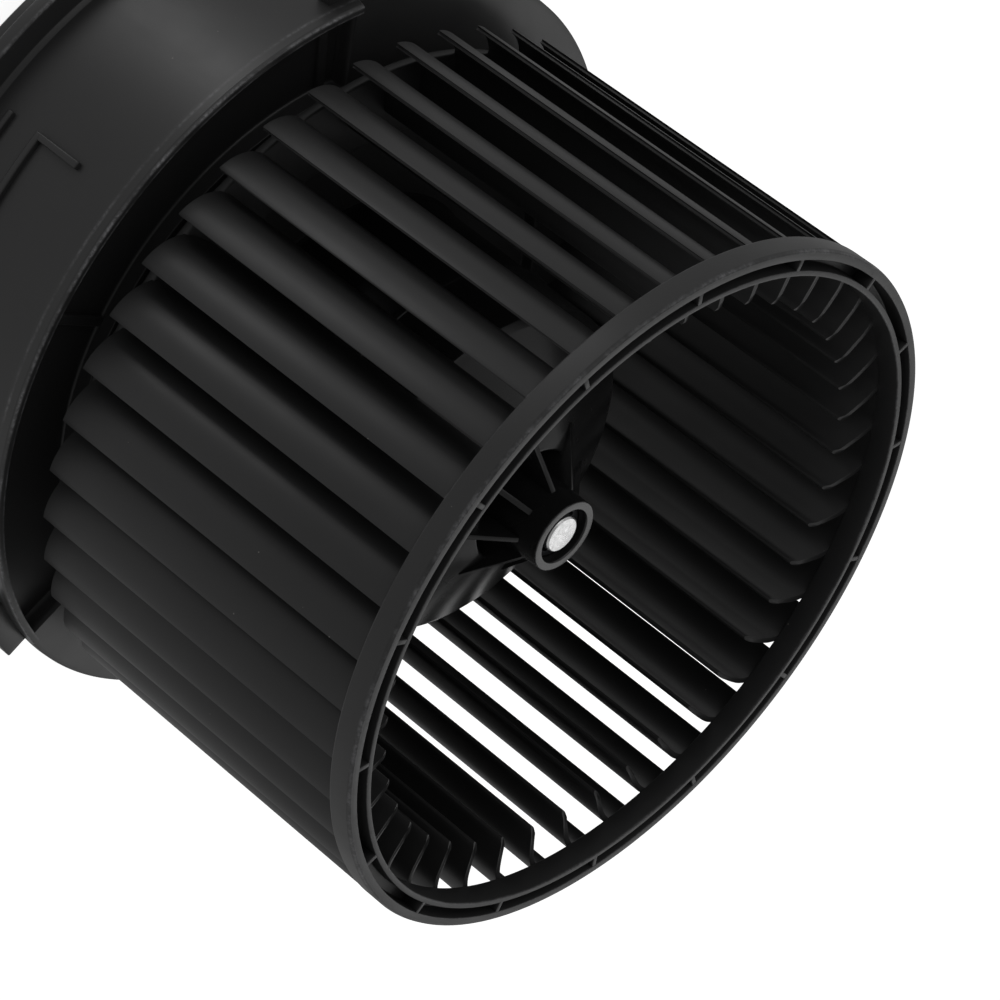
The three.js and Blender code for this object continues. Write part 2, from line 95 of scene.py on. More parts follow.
class Shape:
    """Collects closed shells, in mm, into one mesh."""

    def __init__(self, name):
        self.name = name
        self.bm = bmesh.new()

    def shell(self, verts, faces):
        vs = [self.bm.verts.new((x * MM, y * MM, z * MM)) for x, y, z in verts]
        fs = [self.bm.faces.new([vs[i] for i in f]) for f in faces if len(set(f)) > 2]
        bmesh.ops.recalc_face_normals(self.bm, faces=fs)
        return vs, fs

    def lathe(self, profile, segs=192, closed=True, steps=4, round_it=True):
        prof = fillet(profile, closed, steps) if round_it else [p[:2] for p in profile]
        n = len(prof)
        verts, rings = [], []
        for r, z in prof:
            if r < 1e-6:
                rings.append([len(verts)] * segs)
                verts.append((0.0, 0.0, z))
            else:
                rings.append([len(verts) + k for k in range(segs)])
                verts += [(r * math.cos(2 * math.pi * k / segs), r * math.sin(2 * math.pi * k / segs), z) for k in range(segs)]
        faces = []
        for i in range(n if closed else n - 1):
            a, b = rings[i], rings[(i + 1) % n]
            for k in range(segs):
                q = [a[k], a[(k + 1) % segs], b[(k + 1) % segs], b[k]]
                f = [x for j, x in enumerate(q) if x not in q[:j]]
                if len(f) > 2:
                    faces.append(f)
        return self.shell(verts, faces)

    def swept(self, sections):
        """A closed shell through (angle, profile) sections that go once round the axis."""
        n, m = len(sections[0][1]), len(sections)
        verts = []
        for a, prof in sections:
            c, s = math.cos(math.radians(a)), math.sin(math.radians(a))
            verts += [(r * c, r * s, z) for r, z in prof]
        faces = []
        for i in range(m):
            j = (i + 1) % m
            for k in range(n):
                l = (k + 1) % n
                faces.append([i * n + k, i * n + l, j * n + l, j * n + k])
        return self.shell(verts, faces)

    def sector(self, profile, a0, a1, step=1.0):
        """Part of a turned shape, closed by a flat face at each end."""
        m = max(2, int(math.ceil((a1 - a0) / step)) + 1)
        n = len(profile)
        verts = []
        for i in range(m):
            a = math.radians(a0 + (a1 - a0) * i / (m - 1))
            verts += [(r * math.cos(a), r * math.sin(a), z) for r, z in profile]
        faces = [[i * n + k, i * n + (k + 1) % n, (i + 1) * n + (k + 1) % n, (i + 1) * n + k] for i in range(m - 1) for k in range(n)]
        faces += [list(range(n)), [(m - 1) * n + k for k in range(n)]]
        return self.shell(verts, faces)

    def prism(self, outline, z0, z1, place=None):
        """A straight-sided block. z0 and z1 are heights, or functions of (x, y)."""
        low = z0 if callable(z0) else (lambda x, y: z0)
        high = z1 if callable(z1) else (lambda x, y: z1)
        n = len(outline)
        pts = [(x, y, low(x, y)) for x, y in outline] + [(x, y, high(x, y)) for x, y in outline]
        if place is not None:
            pts = [tuple(place @ Vector(p)) for p in pts]
        faces = [list(range(n)), list(range(n, 2 * n))]
        faces += [[k, (k + 1) % n, n + (k + 1) % n, n + k] for k in range(n)]
        return self.shell(pts, faces)

    def box(self, w, d, h, x, y, z, turn=0.0):
        m = Matrix.Rotation(math.radians(turn), 4, "Z") @ Matrix.Translation((x, y, z))
        return self.prism([(-w / 2, -d / 2), (w / 2, -d / 2), (w / 2, d / 2), (-w / 2, d / 2)], -h / 2, h / 2, m)

    def rod(self, r, z0, z1, x, y, segs=32, place=None):
        out = [(x + r * math.cos(2 * math.pi * k / segs), y + r * math.sin(2 * math.pi * k / segs)) for k in range(segs)]
        return self.prism(out, z0, z1, place)

    def object(self):
        me = bpy.data.meshes.new(self.name)
        self.bm.to_mesh(me)
        self.bm.free()
        o = bpy.data.objects.new(self.name, me)
        bpy.context.scene.collection.objects.link(o)
        return o


def apply_all(o):
    bpy.context.view_layer.update()
    dg = bpy.context.evaluated_depsgraph_get()
    me = bpy.data.meshes.new_from_object(o.evaluated_get(dg))
    o.modifiers.clear()
    old = o.data
    o.data = me
    bpy.data.meshes.remove(old)


def bevelled(o, width, segments=2, angle=40):
    m = o.modifiers.new("edge", "BEVEL")
    m.width = width * MM
    m.segments = segments
    m.limit_method = "ANGLE"
    m.angle_limit = math.radians(angle)
    m.use_clamp_overlap = True
    apply_all(o)


def cut(o, cutter, operation="DIFFERENCE"):
    m = o.modifiers.new("cut", "BOOLEAN")
    m.operation = operation
    m.solver = "EXACT"
    m.object = cutter
    apply_all(o)
    me = cutter.data
    bpy.data.objects.remove(cutter)
    bpy.data.meshes.remove(me)


def shaded(o, angle=32):
    o.data.polygons.foreach_set("use_smooth", [True] * len(o.data.polygons))
    o.data.set_sharp_from_angle(angle=math.radians(angle))
    o.data.update()


def piece(o, material, body, nodes=(), angle=32):
    o.data.materials.clear()
    o.data.materials.append(material)
    shaded(o, angle)
    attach(o, body)
    if nodes:
        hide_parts(*nodes)
    return o


# ------------------------------------------------------------------ materials
class Mat:
    """A node material with a few short helpers. Lengths are in metres, in the part's own frame."""

    def __init__(self, name, **sockets):
        self.m = bpy.data.materials.new(name)
        self.m.use_nodes = True
        self.t = self.m.node_tree
        self.t.nodes.clear()
        self.out = self.t.nodes.new("ShaderNodeOutputMaterial")
        self.bsdf = self.t.nodes.new("ShaderNodeBsdfPrincipled")
        self.t.links.new(self.bsdf.outputs[0], self.out.inputs["Surface"])
        for k, v in sockets.items():
            self.bsdf.inputs[k.replace("_", " ")].default_value = v
        self.coord = self.t.nodes.new("ShaderNodeTexCoord")
        self.height = None

    def node(self, kind, inputs=None, **props):
        n = self.t.nodes.new(kind)
        for k, v in props.items():
            setattr(n, k, v)
        for k, v in (inputs or {}).items():
            sock = n.inputs[k]
            if isinstance(v, bpy.types.NodeSocket):
                self.t.links.new(v, sock)
            else:
                sock.default_value = v
        return n

    def mapped(self, scale=(1, 1, 1), turn=(0, 0, 0)):
        return self.node("ShaderNodeMapping", {"Vector": self.coord.outputs["Object"], "Scale": scale, "Rotation": turn}).outputs[0]

    def noise(self, per_mm, detail=3.0, rough=0.6, vector=None, distortion=0.0):
        return self.node("ShaderNodeTexNoise", {"Vector": vector or self.coord.outputs["Object"], "Scale": per_mm * 1000.0, "Detail": detail,
                                                "Roughness": rough, "Distortion": distortion}).outputs["Fac"]

    def ramp(self, fac, stops, interpolation="LINEAR"):
        n = self.node("ShaderNodeValToRGB", {"Fac": fac})
        n.color_ramp.interpolation = interpolation
        el = n.color_ramp.elements
        while len(el) > 1:
            el.remove(el[-1])
        el[0].position = stops[0][0]
        el[0].color = self.rgba(stops[0][1])
        for p, c in stops[1:]:
            el.new(p).color = self.rgba(c)
        return n.outputs["Color"]

    @staticmethod
    def rgba(c):
        if isinstance(c, (int, float)):
            return (c, c, c, 1)
        return tuple(c) + (1,) if len(c) == 3 else tuple(c)

    def math(self, op, a, b=0.0, clamp=False):
        n = self.node("ShaderNodeMath", {0: a, 1: b}, operation=op)
        n.use_clamp = clamp
        return n.outputs[0]

    def mix(self, fac, a, b, blend="MIX"):
        n = self.node("ShaderNodeMix", {0: fac}, data_type="RGBA", blend_type=blend)
        for sock, v in ((n.inputs[6], a), (n.inputs[7], b)):
            if isinstance(v, bpy.types.NodeSocket):
                self.t.links.new(v, sock)
            else:
                sock.default_value = self.rgba(v)
        return n.outputs[2]

    def bump(self, height, mm, strength=1.0):
        """Adds a bump: height 0 to 1 stands for mm millimetres."""
        ins = {"Height": height, "Distance": mm * MM, "Strength": strength}
        if self.height is not None:
            ins["Normal"] = self.height
        self.height = self.node("ShaderNodeBump", ins).outputs["Normal"]
        return self

    def set(self, socket, value):
        self.t.links.new(value, self.bsdf.inputs[socket])
        return self

    def done(self):
        if self.height is not None:
            self.set("Normal", self.height)
        return self.m


def black_plastic(name, base=0.022, rough=(0.40, 0.48), grain=0.010, dust=1.0, scuff=0.0, streak=0.0, rims=()):
    """Moulded black plastic: fine mould texture, slightly uneven sheen, pale rims and a few dust specks.
    rims are (radius, height, width, strength) of turned edges, in mm, that are painted pale: partly rubbed wear, partly
    a painted edge highlight."""
    m = Mat(name, IOR=1.48)
    cloud = m.noise(0.03, 3, 0.5)
    fine = m.noise(3.0, 2, 0.7)
    colour = m.ramp(cloud, [(0.3, (base * 0.92, base * 0.92, base * 0.93)), (0.7, (base * 1.08, base * 1.08, base * 1.10))])
    r = m.ramp(m.noise(0.05, 4, 0.55), [(0.3, rough[0]), (0.72, rough[1])])
    if rims:
        sep = m.node("ShaderNodeSeparateXYZ", {0: m.coord.outputs["Object"]})
        rr = m.math("SQRT", m.math("ADD", m.math("MULTIPLY", sep.outputs[0], sep.outputs[0]), m.math("MULTIPLY", sep.outputs[1], sep.outputs[1])))
        patch = m.ramp(m.noise(0.10, 4, 0.7), [(0.40, 0.12), (0.60, 1.0)])
        rim_breakup = m.ramp(m.noise(1.1, 3, 0.7), [(0.40, 0.25), (0.62, 1.0)])
        # pale rims: rubbed wear plus a painted edge highlight, mixed into the base colour
        for radius, height, width, strength in rims:
            dr = m.math("SUBTRACT", rr, radius * MM)
            dz = m.math("SUBTRACT", sep.outputs[2], height * MM)
            far = m.math("SQRT", m.math("ADD", m.math("MULTIPLY", dr, dr), m.math("MULTIPLY", dz, dz)))
            near = m.math("SUBTRACT", 1.0, m.math("DIVIDE", far, width * MM), clamp=True)
            rubbed_and_lit_rim = m.math("MULTIPLY", m.math("MULTIPLY", near, patch), m.math("MULTIPLY", rim_breakup, strength), clamp=True)
            colour = m.mix(rubbed_and_lit_rim, colour, (0.30, 0.30, 0.31))
    vor = m.node("ShaderNodeTexVoronoi", {"Vector": m.coord.outputs["Object"], "Scale": 160.0, "Randomness": 1.0}, feature="F1")
    size = m.ramp(m.noise(0.3, 1, 0.5), [(0.5, 0.008), (0.75, 0.045)])
    speck = m.math("LESS_THAN", vor.outputs["Distance"], m.math("MULTIPLY", size, dust))
    colour = m.mix(m.math("MULTIPLY", speck, 0.45), colour, (0.30, 0.29, 0.27))
    r = m.math("ADD", r, m.math("MULTIPLY", speck, 0.3))
    if scuff:
        # fine rub marks that run round the axis
        marks = m.noise(0.5, 4, 0.75, vector=m.mapped((0.5, 0.5, 9.0)))
        marks = m.ramp(marks, [(0.58, 0.0), (0.68, 1.0)])
        where = m.ramp(m.noise(0.03, 2, 0.5), [(0.5, 0.0), (0.66, 1.0)])
        marks = m.math("MULTIPLY", marks, where)
        colour = m.mix(m.math("MULTIPLY", marks, scuff), colour, (0.16, 0.16, 0.16))
        r = m.math("ADD", r, m.math("MULTIPLY", marks, 0.12))
    if streak:
        # flow lines left by the mould along the axis
        lines = m.noise(0.55, 3, 0.6, vector=m.mapped((1, 1, 0.06)))
        r = m.math("ADD", r, m.math("MULTIPLY", m.math("SUBTRACT", lines, 0.5), streak))
        m.bump(lines, 0.006, 0.4)
    m.set("Base Color", colour).set("Roughness", r)
    m.bump(fine, grain, 0.8).bump(m.noise(0.25, 2, 0.5), 0.012, 0.3)
    return m.done()


def steel(name, colour, rough=(0.2, 0.34), brushed=(1, 1, 30), stain=0.0, metallic=1.0):
    """Machined or plated metal: fine tool lines, slightly uneven colour."""
    m = Mat(name, Metallic=metallic)
    lines = m.noise(2.0, 3, 0.6, vector=m.mapped(brushed))
    cloud = m.noise(0.15, 4, 0.6)
    c = m.ramp(cloud, [(0.3, tuple(v * 0.86 for v in colour)), (0.7, tuple(min(1, v * 1.08) for v in colour))])
    if stain:
        s = m.ramp(m.noise(0.25, 5, 0.7), [(0.5, 0.0), (0.66, 1.0)])
        c = m.mix(m.math("MULTIPLY", s, stain), c, tuple(v * 0.45 for v in colour))
    m.set("Base Color", c).set("Roughness", m.ramp(lines, [(0.25, rough[0]), (0.75, rough[1])]))
    m.bump(lines, 0.006, 0.6)
    return m.done()


def turned_face(name, colour):
    """Bright turned end of a shaft: concentric tool rings about the axis."""
    m = Mat(name, Metallic=1.0, Anisotropic=0.35)
    sep = m.node("ShaderNodeSeparateXYZ", {0: m.coord.outputs["Object"]})
    r2 = m.math("ADD", m.math("MULTIPLY", sep.outputs[0], sep.outputs[0]), m.math("MULTIPLY", sep.outputs[1], sep.outputs[1]))
    r = m.math("SQRT", r2)
    rings = m.math("SINE", m.math("MULTIPLY", r, 2 * math.pi / (0.16 * MM)))
    rings = m.math("ADD", m.math("MULTIPLY", rings, 0.5), 0.5)
    rough = m.noise(1.2, 3, 0.6)
    c = m.ramp(m.noise(0.4, 3, 0.6), [(0.3, tuple(v * 0.9 for v in colour)), (0.7, colour)])
    m.set("Base Color", c).set("Roughness", m.ramp(rough, [(0.3, 0.22), (0.7, 0.38)]))
    m.bump(rings, 0.010, 0.5)
    return m.done()


def moulded(name, colour, rough=(0.4, 0.6), spread=0.12, grain=0.01, per_mm=2.5, sss=0.0):
    m = Mat(name, Subsurface_Weight=sss)
    if sss:
        m.bsdf.inputs["Subsurface Radius"].default_value = (0.002, 0.0016, 0.001)
    c = m.ramp(m.noise(0.08, 4, 0.6), [(0.3, tuple(v * (1 - spread) for v in colour)), (0.7, tuple(min(1.0, v * (1 + spread)) for v in colour))])
    m.set("Base Color", c).set("Roughness", m.ramp(m.noise(0.25, 3, 0.6), [(0.3, rough[0]), (0.7, rough[1])]))
    m.bump(m.noise(per_mm, 2, 0.6), grain, 0.7)
    return m.done()


def grainy(name, colour, speck_colour, rough=(0.55, 0.8), per_mm=4.0, metallic=0.0):
    """Sintered or bonded material: visible grain."""
    m = Mat(name, Metallic=metallic)
    g = m.noise(per_mm, 4, 0.75)
    c = m.mix(m.ramp(g, [(0.48, 0.0), (0.62, 1.0)]), colour, speck_colour)
    m.set("Base Color", c).set("Roughness", m.ramp(g, [(0.3, rough[0]), (0.7, rough[1])]))
    m.bump(g, 0.03, 0.7)
    return m.done()


def laminated(name, colour):
    """Stacked sheet steel: lines every half millimetre up the axis."""
    m = Mat(name, Metallic=0.9)
    w = m.node("ShaderNodeTexWave", {"Vector": m.coord.outputs["Object"], "Scale": 320.0, "Distortion": 0.0}, wave_type="BANDS", bands_direction="Z").outputs["Fac"]
    c = m.mix(w, tuple(v * 0.6 for v in colour), colour)
    m.set("Base Color", c).set("Roughness", m.ramp(m.noise(0.8, 3, 0.6), [(0.3, 0.4), (0.7, 0.62)]))
    m.bump(w, 0.04, 0.8)
    return m.done()


def wound(name, colour):
    """Enamelled winding wire: fine ridges, glossy varnish."""
    m = Mat(name, Metallic=0.75, Coat_Weight=0.5, Coat_Roughness=0.15)
    w = m.node("ShaderNodeTexWave", {"Vector": m.mapped((1, 1, 1), (0.5, 0.4, 0)), "Scale": 480.0, "Distortion": 1.5, "Detail": 2.0, "Detail Scale": 0.4},
               wave_type="BANDS", bands_direction="DIAGONAL").outputs["Fac"]
    # darker in the grooves between turns: painted shade between the wires
    c = m.mix(w, tuple(v * 0.45 for v in colour), colour)
    m.set("Base Color", c).set("Roughness", m.ramp(m.noise(0.5, 3, 0.6), [(0.3, 0.28), (0.7, 0.45)]))
    m.bump(w, 0.15, 0.9)
    return m.done()


# rims lighten turned edges: rubbed wear on the wheel ring, and a painted edge highlight on the ring, hub and base edges
WHEEL = black_plastic("wheel_black", base=0.020, rough=(0.42, 0.50), grain=0.010, scuff=0.06, streak=0.04,
                      rims=[(75.2, at(0.2), 0.7, 0.5), (73.3, at(0.0), 0.3, 0.35), (71.1, at(0.0), 0.3, 0.35), (69.9, at(0.1), 0.45, 0.4), (75.4, at(5.2), 0.35, 0.25)])
HUB = black_plastic("hub_black", base=0.012, rough=(0.22, 0.30), grain=0.004, dust=0.8, rims=[(7.7, at(21.45), 0.4, 0.3), (12.4, at(32.3), 0.35, 0.2)])
# the base's rims are the bright edge lines of the rim lip and flange: painted highlight
BASE = black_plastic("base_black", base=0.022, rough=(0.34, 0.42), grain=0.012, dust=1.3, streak=0.03,
                     rims=[(81.1, at(91.1), 0.6, 0.8), (79.7, at(91.1), 0.4, 0.6), (87.3, 10.4, 0.7, 0.5), (81.1, at(93.7), 0.5, 0.3), (87.3, 7.6, 0.6, 0.3)])
SHAFT = turned_face("shaft_steel", (0.80, 0.80, 0.80))
SPRING = steel("spring_steel", (0.55, 0.56, 0.58))
BLUED = steel("blued_spring_steel", (0.055, 0.056, 0.062), rough=(0.32, 0.46), metallic=0.8)
ZINC = steel("zinc_plate", (0.60, 0.62, 0.63), rough=(0.28, 0.42), brushed=(1, 1, 1), stain=0.25)
SCREW = steel("screw_zinc", (0.62, 0.62, 0.60), rough=(0.25, 0.4), brushed=(1, 1, 6), stain=0.3)
CORE = laminated("core_laminations", (0.32, 0.33, 0.36))
COPPER = wound("winding_copper", (0.72, 0.33, 0.16))
COMM = steel("commutator_copper", (0.75, 0.42, 0.25), rough=(0.2, 0.4), brushed=(1, 1, 25), stain=0.4)
NYLON = moulded("white_nylon", (0.80, 0.78, 0.71), rough=(0.4, 0.55), spread=0.04, sss=0.2)
BRONZE = grainy("sintered_bronze", (0.42, 0.29, 0.15), (0.58, 0.43, 0.24), rough=(0.35, 0.55), metallic=0.9)
FERRITE = grainy("ferrite", (0.055, 0.056, 0.06), (0.12, 0.12, 0.125), rough=(0.6, 0.85))
PHENOLIC = grainy("phenolic_board", (0.19, 0.10, 0.05), (0.27, 0.16, 0.09), rough=(0.4, 0.6), per_mm=1.2)
BRASS = steel("pressed_brass", (0.78, 0.60, 0.27), rough=(0.22, 0.36), brushed=(1, 12, 1), stain=0.2)
CARBON = grainy("brush_carbon", (0.03, 0.03, 0.033), (0.11, 0.10, 0.095), rough=(0.5, 0.75), per_mm=6.0)
RUBBER = moulded("isolation_rubber", (0.025, 0.025, 0.026), rough=(0.7, 0.9), grain=0.02)
CONNECTOR = moulded("connector_natural", (0.66, 0.63, 0.54), rough=(0.38, 0.5), spread=0.05, sss=0.15)
RED = moulded("wire_red", (0.42, 0.03, 0.02), rough=(0.4, 0.55))
DARK = moulded("wire_black", (0.02, 0.02, 0.021), rough=(0.4, 0.55))

# ------------------------------------------------------------------ wheel: blades
BLADES, BLADE_AT = 42, 7.0
ARC_X, ARC_Y, ARC_R = 65.3, 0.8, 10.0


def blade_outline():
    """Arc from the tip to mid-chord, running out nearly straight to the inlet edge."""
    tip, bend = math.radians(-4.6), math.radians(-84.0)
    n, m = 16, 6
    convex = []
    for i in range(n + 1):
        w = tip + (bend - tip) * i / n
        convex.append((ARC_X + ARC_R * math.cos(w), ARC_Y + ARC_R * math.sin(w), math.cos(w), math.sin(w)))
    x0, y0 = convex[-1][:2]
    for i in range(1, m + 1):
        f = i / m
        slope = 0.105 * (1 - f)
        convex.append((x0 - (x0 - 60.0) * f, y0 - 0.105 * (x0 - 60.0) * (f - f * f / 2), slope, -1.0))
    concave = []
    for i, (x, y, nx, ny) in enumerate(convex):
        f = i / (n + m)
        t = 0.62 + 0.62 * math.sin(math.pi * min(1.0, 0.06 + f * 0.80)) ** 0.7
        k = t / math.hypot(nx, ny)
        concave.append((x - nx * k, y - ny * k))
    convex = [c[:2] for c in convex]

    def nose(p, q):
        """three points that round the end from p to q"""
        p, q = Vector(p), Vector(q)
        c, d = (p + q) / 2, (q - p) / 2
        side = Vector((-d.y, d.x))
        return [tuple(c - d * math.cos(w) + side * math.sin(w)) for w in (math.pi * 0.2, math.pi * 0.5, math.pi * 0.8)]

    end = nose(convex[-1], concave[-1])
    start = nose(concave[0], convex[0])
    if math.hypot(*end[1]) > math.hypot(*convex[-1]):
        end = nose(concave[-1], convex[-1])[::-1]
    if math.hypot(*start[1]) < math.hypot(*convex[0]):
        start = nose(convex[0], concave[0])[::-1]
    return convex + end + concave[::-1] + start


OUTLINE = blade_outline()


def blade_top(x, y):
    r = math.hypot(x, y)
    return at(4.9) if r > 70.2 else at(5.15 + (70.2 - r) * 0.075 + max(0.0, 61.9 - r) ** 2 * 0.25)


def blade_low(x, y):
    r = math.hypot(x, y)
    return at(85.2) if r < 69.7 else at(85.0)


wheel = Shape("wheel_blades")
for i in range(BLADES):
    turn = math.radians(BLADE_AT + i * 360.0 / BLADES)
    c, s = math.cos(turn), math.sin(turn)
    wheel.prism([(x * c - y * s, x * s + y * c) for x, y in OUTLINE], blade_low, blade_top)
blades = wheel.object()
bevelled(blades, 0.16, 2, 55)
piece(blades, WHEEL, "rotor", angle=40)

# ------------------------------------------------------------------ wheel: front ring
ring = Shape("wheel_ring")
ring.lathe([
    (69.9, at(5.3), 0.25), (75.2, at(5.3), 0.25), (75.4, at(4.9), 0.1), (75.4, at(0.75), 0.15), (75.05, at(0.0), 0.3),
    (73.35, at(0), 0.14), (73.3, at(4.0), 0.3), (71.1, at(4.0), 0.3), (71.05, at(0), 0.14), (69.9, at(0), 0.22),
], 336, steps=3)
ring_obj = ring.object()
webs = Shape("ring_webs")
for k in range(16):
    webs.box(2.7, 1.05, 3.9, 72.2, 0, at(2.0), 6.1 + 22.5 * k)
webs_obj = webs.object()
bevelled(webs_obj, 0.12, 2)
piece(ring_obj, WHEEL, "rotor", angle=50)
piece(webs_obj, WHEEL, "rotor", angle=50)

# ------------------------------------------------------------------ wheel: rear disc and hub
disc = Shape("wheel_rear_disc")
disc.lathe([
    (36.6, at(86.9), 0.2), (53.2, at(86.9), 0.5), (54.0, at(84.6), 0.5), (69.35, at(84.6), 0.5), (69.5, at(86.55), 0.3),
    (56.0, at(86.6), 0.5), (55.0, at(89.0), 0.4), (36.6, at(89.0), 0.2),
], 252)
piece(disc.object(), WHEEL, "rotor", angle=50)

hub = Shape("wheel_hub")
hub.lathe([
    (4.12, at(24.4), 0.1), (5.9, at(24.4), 0.12), (5.9, at(21.7), 0.1), (6.1, at(21.4), 0.12), (7.8, at(21.4), 0.22),
    (7.95, at(26.0), 0.3), (8.1, at(41.0), 0.8), (12.0, at(41.0), 0.8), (12.3, at(32.2), 0.45), (16, at(33.8), 1.5), (20, at(35.75), 6),
    (24, at(37.75), 6), (28, at(39.85), 6), (32, at(41.95), 4), (34.6, at(43.3), 1.0), (36.3, at(44.5), 0.7), (36.45, at(46.5), 0.8),
    (36.6, at(59.2), 0.3), (37.05, at(59.5), 0.3), (37.05, at(60.5), 0.3), (36.65, at(60.8), 0.3), (36.95, at(86.2), 0.6), (37.6, at(86.95), 0.4),
    (37.6, at(88.95), 0.3), (34.8, at(89.0), 0.3), (34.1, at(47.6), 1.0), (30, at(43.4), 4), (14.2, at(35.2), 0.6), (14.0, at(43.0), 0.6), (8.2, at(43.2), 0.4),
    (7.9, at(44.4), 0.2), (4.12, at(44.4), 0.1),
], 160, steps=4)
piece(hub.object(), HUB, "rotor", angle=50)

ribs = Shape("hub_gussets")
rib = [(7.2, at(25.7)), (8.2, at(26.0)), (12.0, at(29.3)), (15.0, at(32.0)), (18.2, at(34.7)), (17.0, at(35.4)), (12.8, at(36.0)), (11.9, at(41.4)), (7.2, at(41.4))]
for k in range(8):
    place = Matrix.Rotation(math.radians(72.3 + 45 * k), 4, "Z") @ Matrix.Rotation(math.radians(90), 4, "X")
    ribs.prism(rib, -0.6, 0.6, place)
ribs_obj = ribs.object()
bevelled(ribs_obj, 0.18, 2, 30)
piece(ribs_obj, HUB, "rotor", ["blower_wheel"], angle=40)

# ------------------------------------------------------------------ shaft and clip
shaft = Shape("shaft")
shaft.lathe([(0, 8.0), (3.5, 8.0), (4.0, 8.5, 0.1), (4.0, at(22.25), 0.12), (3.65, at(21.9), 0.1), (0.0, at(21.9))], 96, closed=False)
piece(shaft.object(), SHAFT, "rotor", ["motor_shaft"], angle=28)

clip = Shape("shaft_clip")
inner, outer = [], []
for i in range(96):
    inner.append(polar(4.22 if (i // 8) % 2 == 0 else 4.7, i * 3.75))
    outer.append(polar(5.7, i * 3.75))
n = len(inner)
zb, zt = at(24.1), at(23.45)
verts = [(x, y, zb) for x, y in outer] + [(x, y, zb) for x, y in inner] + [(x, y, zt - 0.12) for x, y in outer] + [(x, y, zt) for x, y in inner]
faces = []
for i in range(n):
    j = (i + 1) % n
    faces += [[i, j, n + j, n + i], [2 * n + i, 2 * n + j, 3 * n + j, 3 * n + i], [i, j, 2 * n + j, 2 * n + i], [n + i, n + j, 3 * n + j, 3 * n + i]]
clip.shell(verts, faces)
for a in (62, 112):
    clip.box(0.55, 1.7, 1.5, 5.2, 0, at(23.0), a)
clip_obj = clip.object()
bevelled(clip_obj, 0.06, 1, 50)
piece(clip_obj, BLUED, "rotor", ["wheel_retaining_clip"], angle=30)

# ------------------------------------------------------------------ mounting base
PLATE = at(93.6)
PT = 2.8
WELL_Z = at(97.2)
RIM = at(91.0)


def base_profile(w):
    """Section of the moulding. w runs from 0, the flat plate, to 1, the recessed sector with its raised rim."""
    def h(flat, well):
        return flat + (well - flat) * w
    lo = PLATE - PT
    top = h(PLATE, RIM)
    rim_in = 79.6
    pts = [
        (33.0, lo, 0.3), (33.0, PLATE, 0.5), (60.0, PLATE, 0.3), (60.5 , h(PLATE, PLATE - 0.02), 0.35), (60.7, h(PLATE - 0.001, WELL_Z), 0.8),
        (rim_in - 0.2, h(PLATE - 0.001, WELL_Z), 0.7), (rim_in, h(PLATE, top - 0.02), 0.0), (rim_in + 0.15, top, 0.25), (81.0, top, 0.3),
        (81.15, h(PLATE - 1.5, RIM - 0.9), 0.2), (81.0, h(PLATE - 1.7, PLATE - 1.0), 0.3), (81.0, 11.6, 0.5), (81.7, 10.62, 0.5), (87.2, 10.6, 0.4), (87.4, 7.5, 0.4),
        (81.8, 7.4, 0.6), (81.0, 6.6, 0.4), (81.0, 3.4, 0.3), (78.6, 3.4, 0.3), (78.6, h(lo - 0.6, WELL_Z - 2.2), 0.8), (58.9, h(lo, WELL_Z - 2.2), 0.4), (58.6, lo, 0.3),
        (37.8, lo, 0.8), (37.7, 12.4, 0.4), (35.2, 12.4, 0.4), (35.2, lo - 0.1, 0.0),
    ]
    return fillet(pts, True, 4, fixed=True)


W0, W1, SIDE = 26.0, 149.4, 0.8
angles = [k * 1.0 for k in range(360)]
fine = []
for edge, sign in ((W0, 1), (W1, -1)):
    for f in (0.0, 0.15, 0.35, 0.5, 0.65, 0.85, 1.0):
        fine.append((edge + sign * (f * SIDE)) % 360)
angles = sorted(set([a for a in angles if not (W0 - 0.01 < a < W0 + SIDE + 0.01 or W1 - SIDE - 0.01 < a < W1 + 0.01)] + [round(a, 4) for a in fine]))


def well_weight(a):
    if a <= W0 or a >= W1:
        return 0.0
    e = min(a - W0, W1 - a) / SIDE
    if e >= 1:
        return 1.0
    return e * e * (3 - 2 * e)


base = Shape("base_shell")
base.swept([(a, base_profile(well_weight(a))) for a in angles])
base_obj = base.object()
piece(base_obj, BASE, "housing", angle=42)

trim = Shape("base_ribs_and_lugs")
for a in (20, 140, 260):
    trim.sector([(80.4, at(98.4)), (85.8, at(98.4)), (85.8, at(95.2)), (80.4, at(95.2))], a, a + 10.5)
trim.box(2.6, 1.5, 10.9, 80.9, 0, at(109.9), 70.2)
trim.sector([(80.3, at(116.4)), (82.2, at(116.4)), (82.2, at(114.9)), (80.3, at(114.9))], 69.7, 104)
trim.sector([(80.3, at(124.6)), (82.2, at(124.6)), (82.2, at(123.2)), (80.3, at(123.2))], 69.7, 104)
for a in (0, 60, 120, 180, 240, 300):
    trim.box(42.0, 2.0, 25.5, 58.2, 0, PLATE - PT - 12.6, a + 30)
for a in (30, 150, 270):
    x, y = polar(42.2, a)
    trim.rod(4.6, 12.4, PLATE - PT + 0.4, x, y, 40)
for a in (0, 60, 120, 180, 240, 300):
    x, y = polar(73.6, a)
    trim.rod(4.2, 3.4, PLATE - PT - 3.5, x, y, 40)
    trim.box(6, 3, PLATE - PT - 6.9, 76.5, 0, (PLATE - PT - 0.1) / 2, a)
trim_obj = trim.object()
bevelled(trim_obj, 0.3, 3, 40)
piece(trim_obj, BASE, "housing", ["mounting_base"], angle=40)

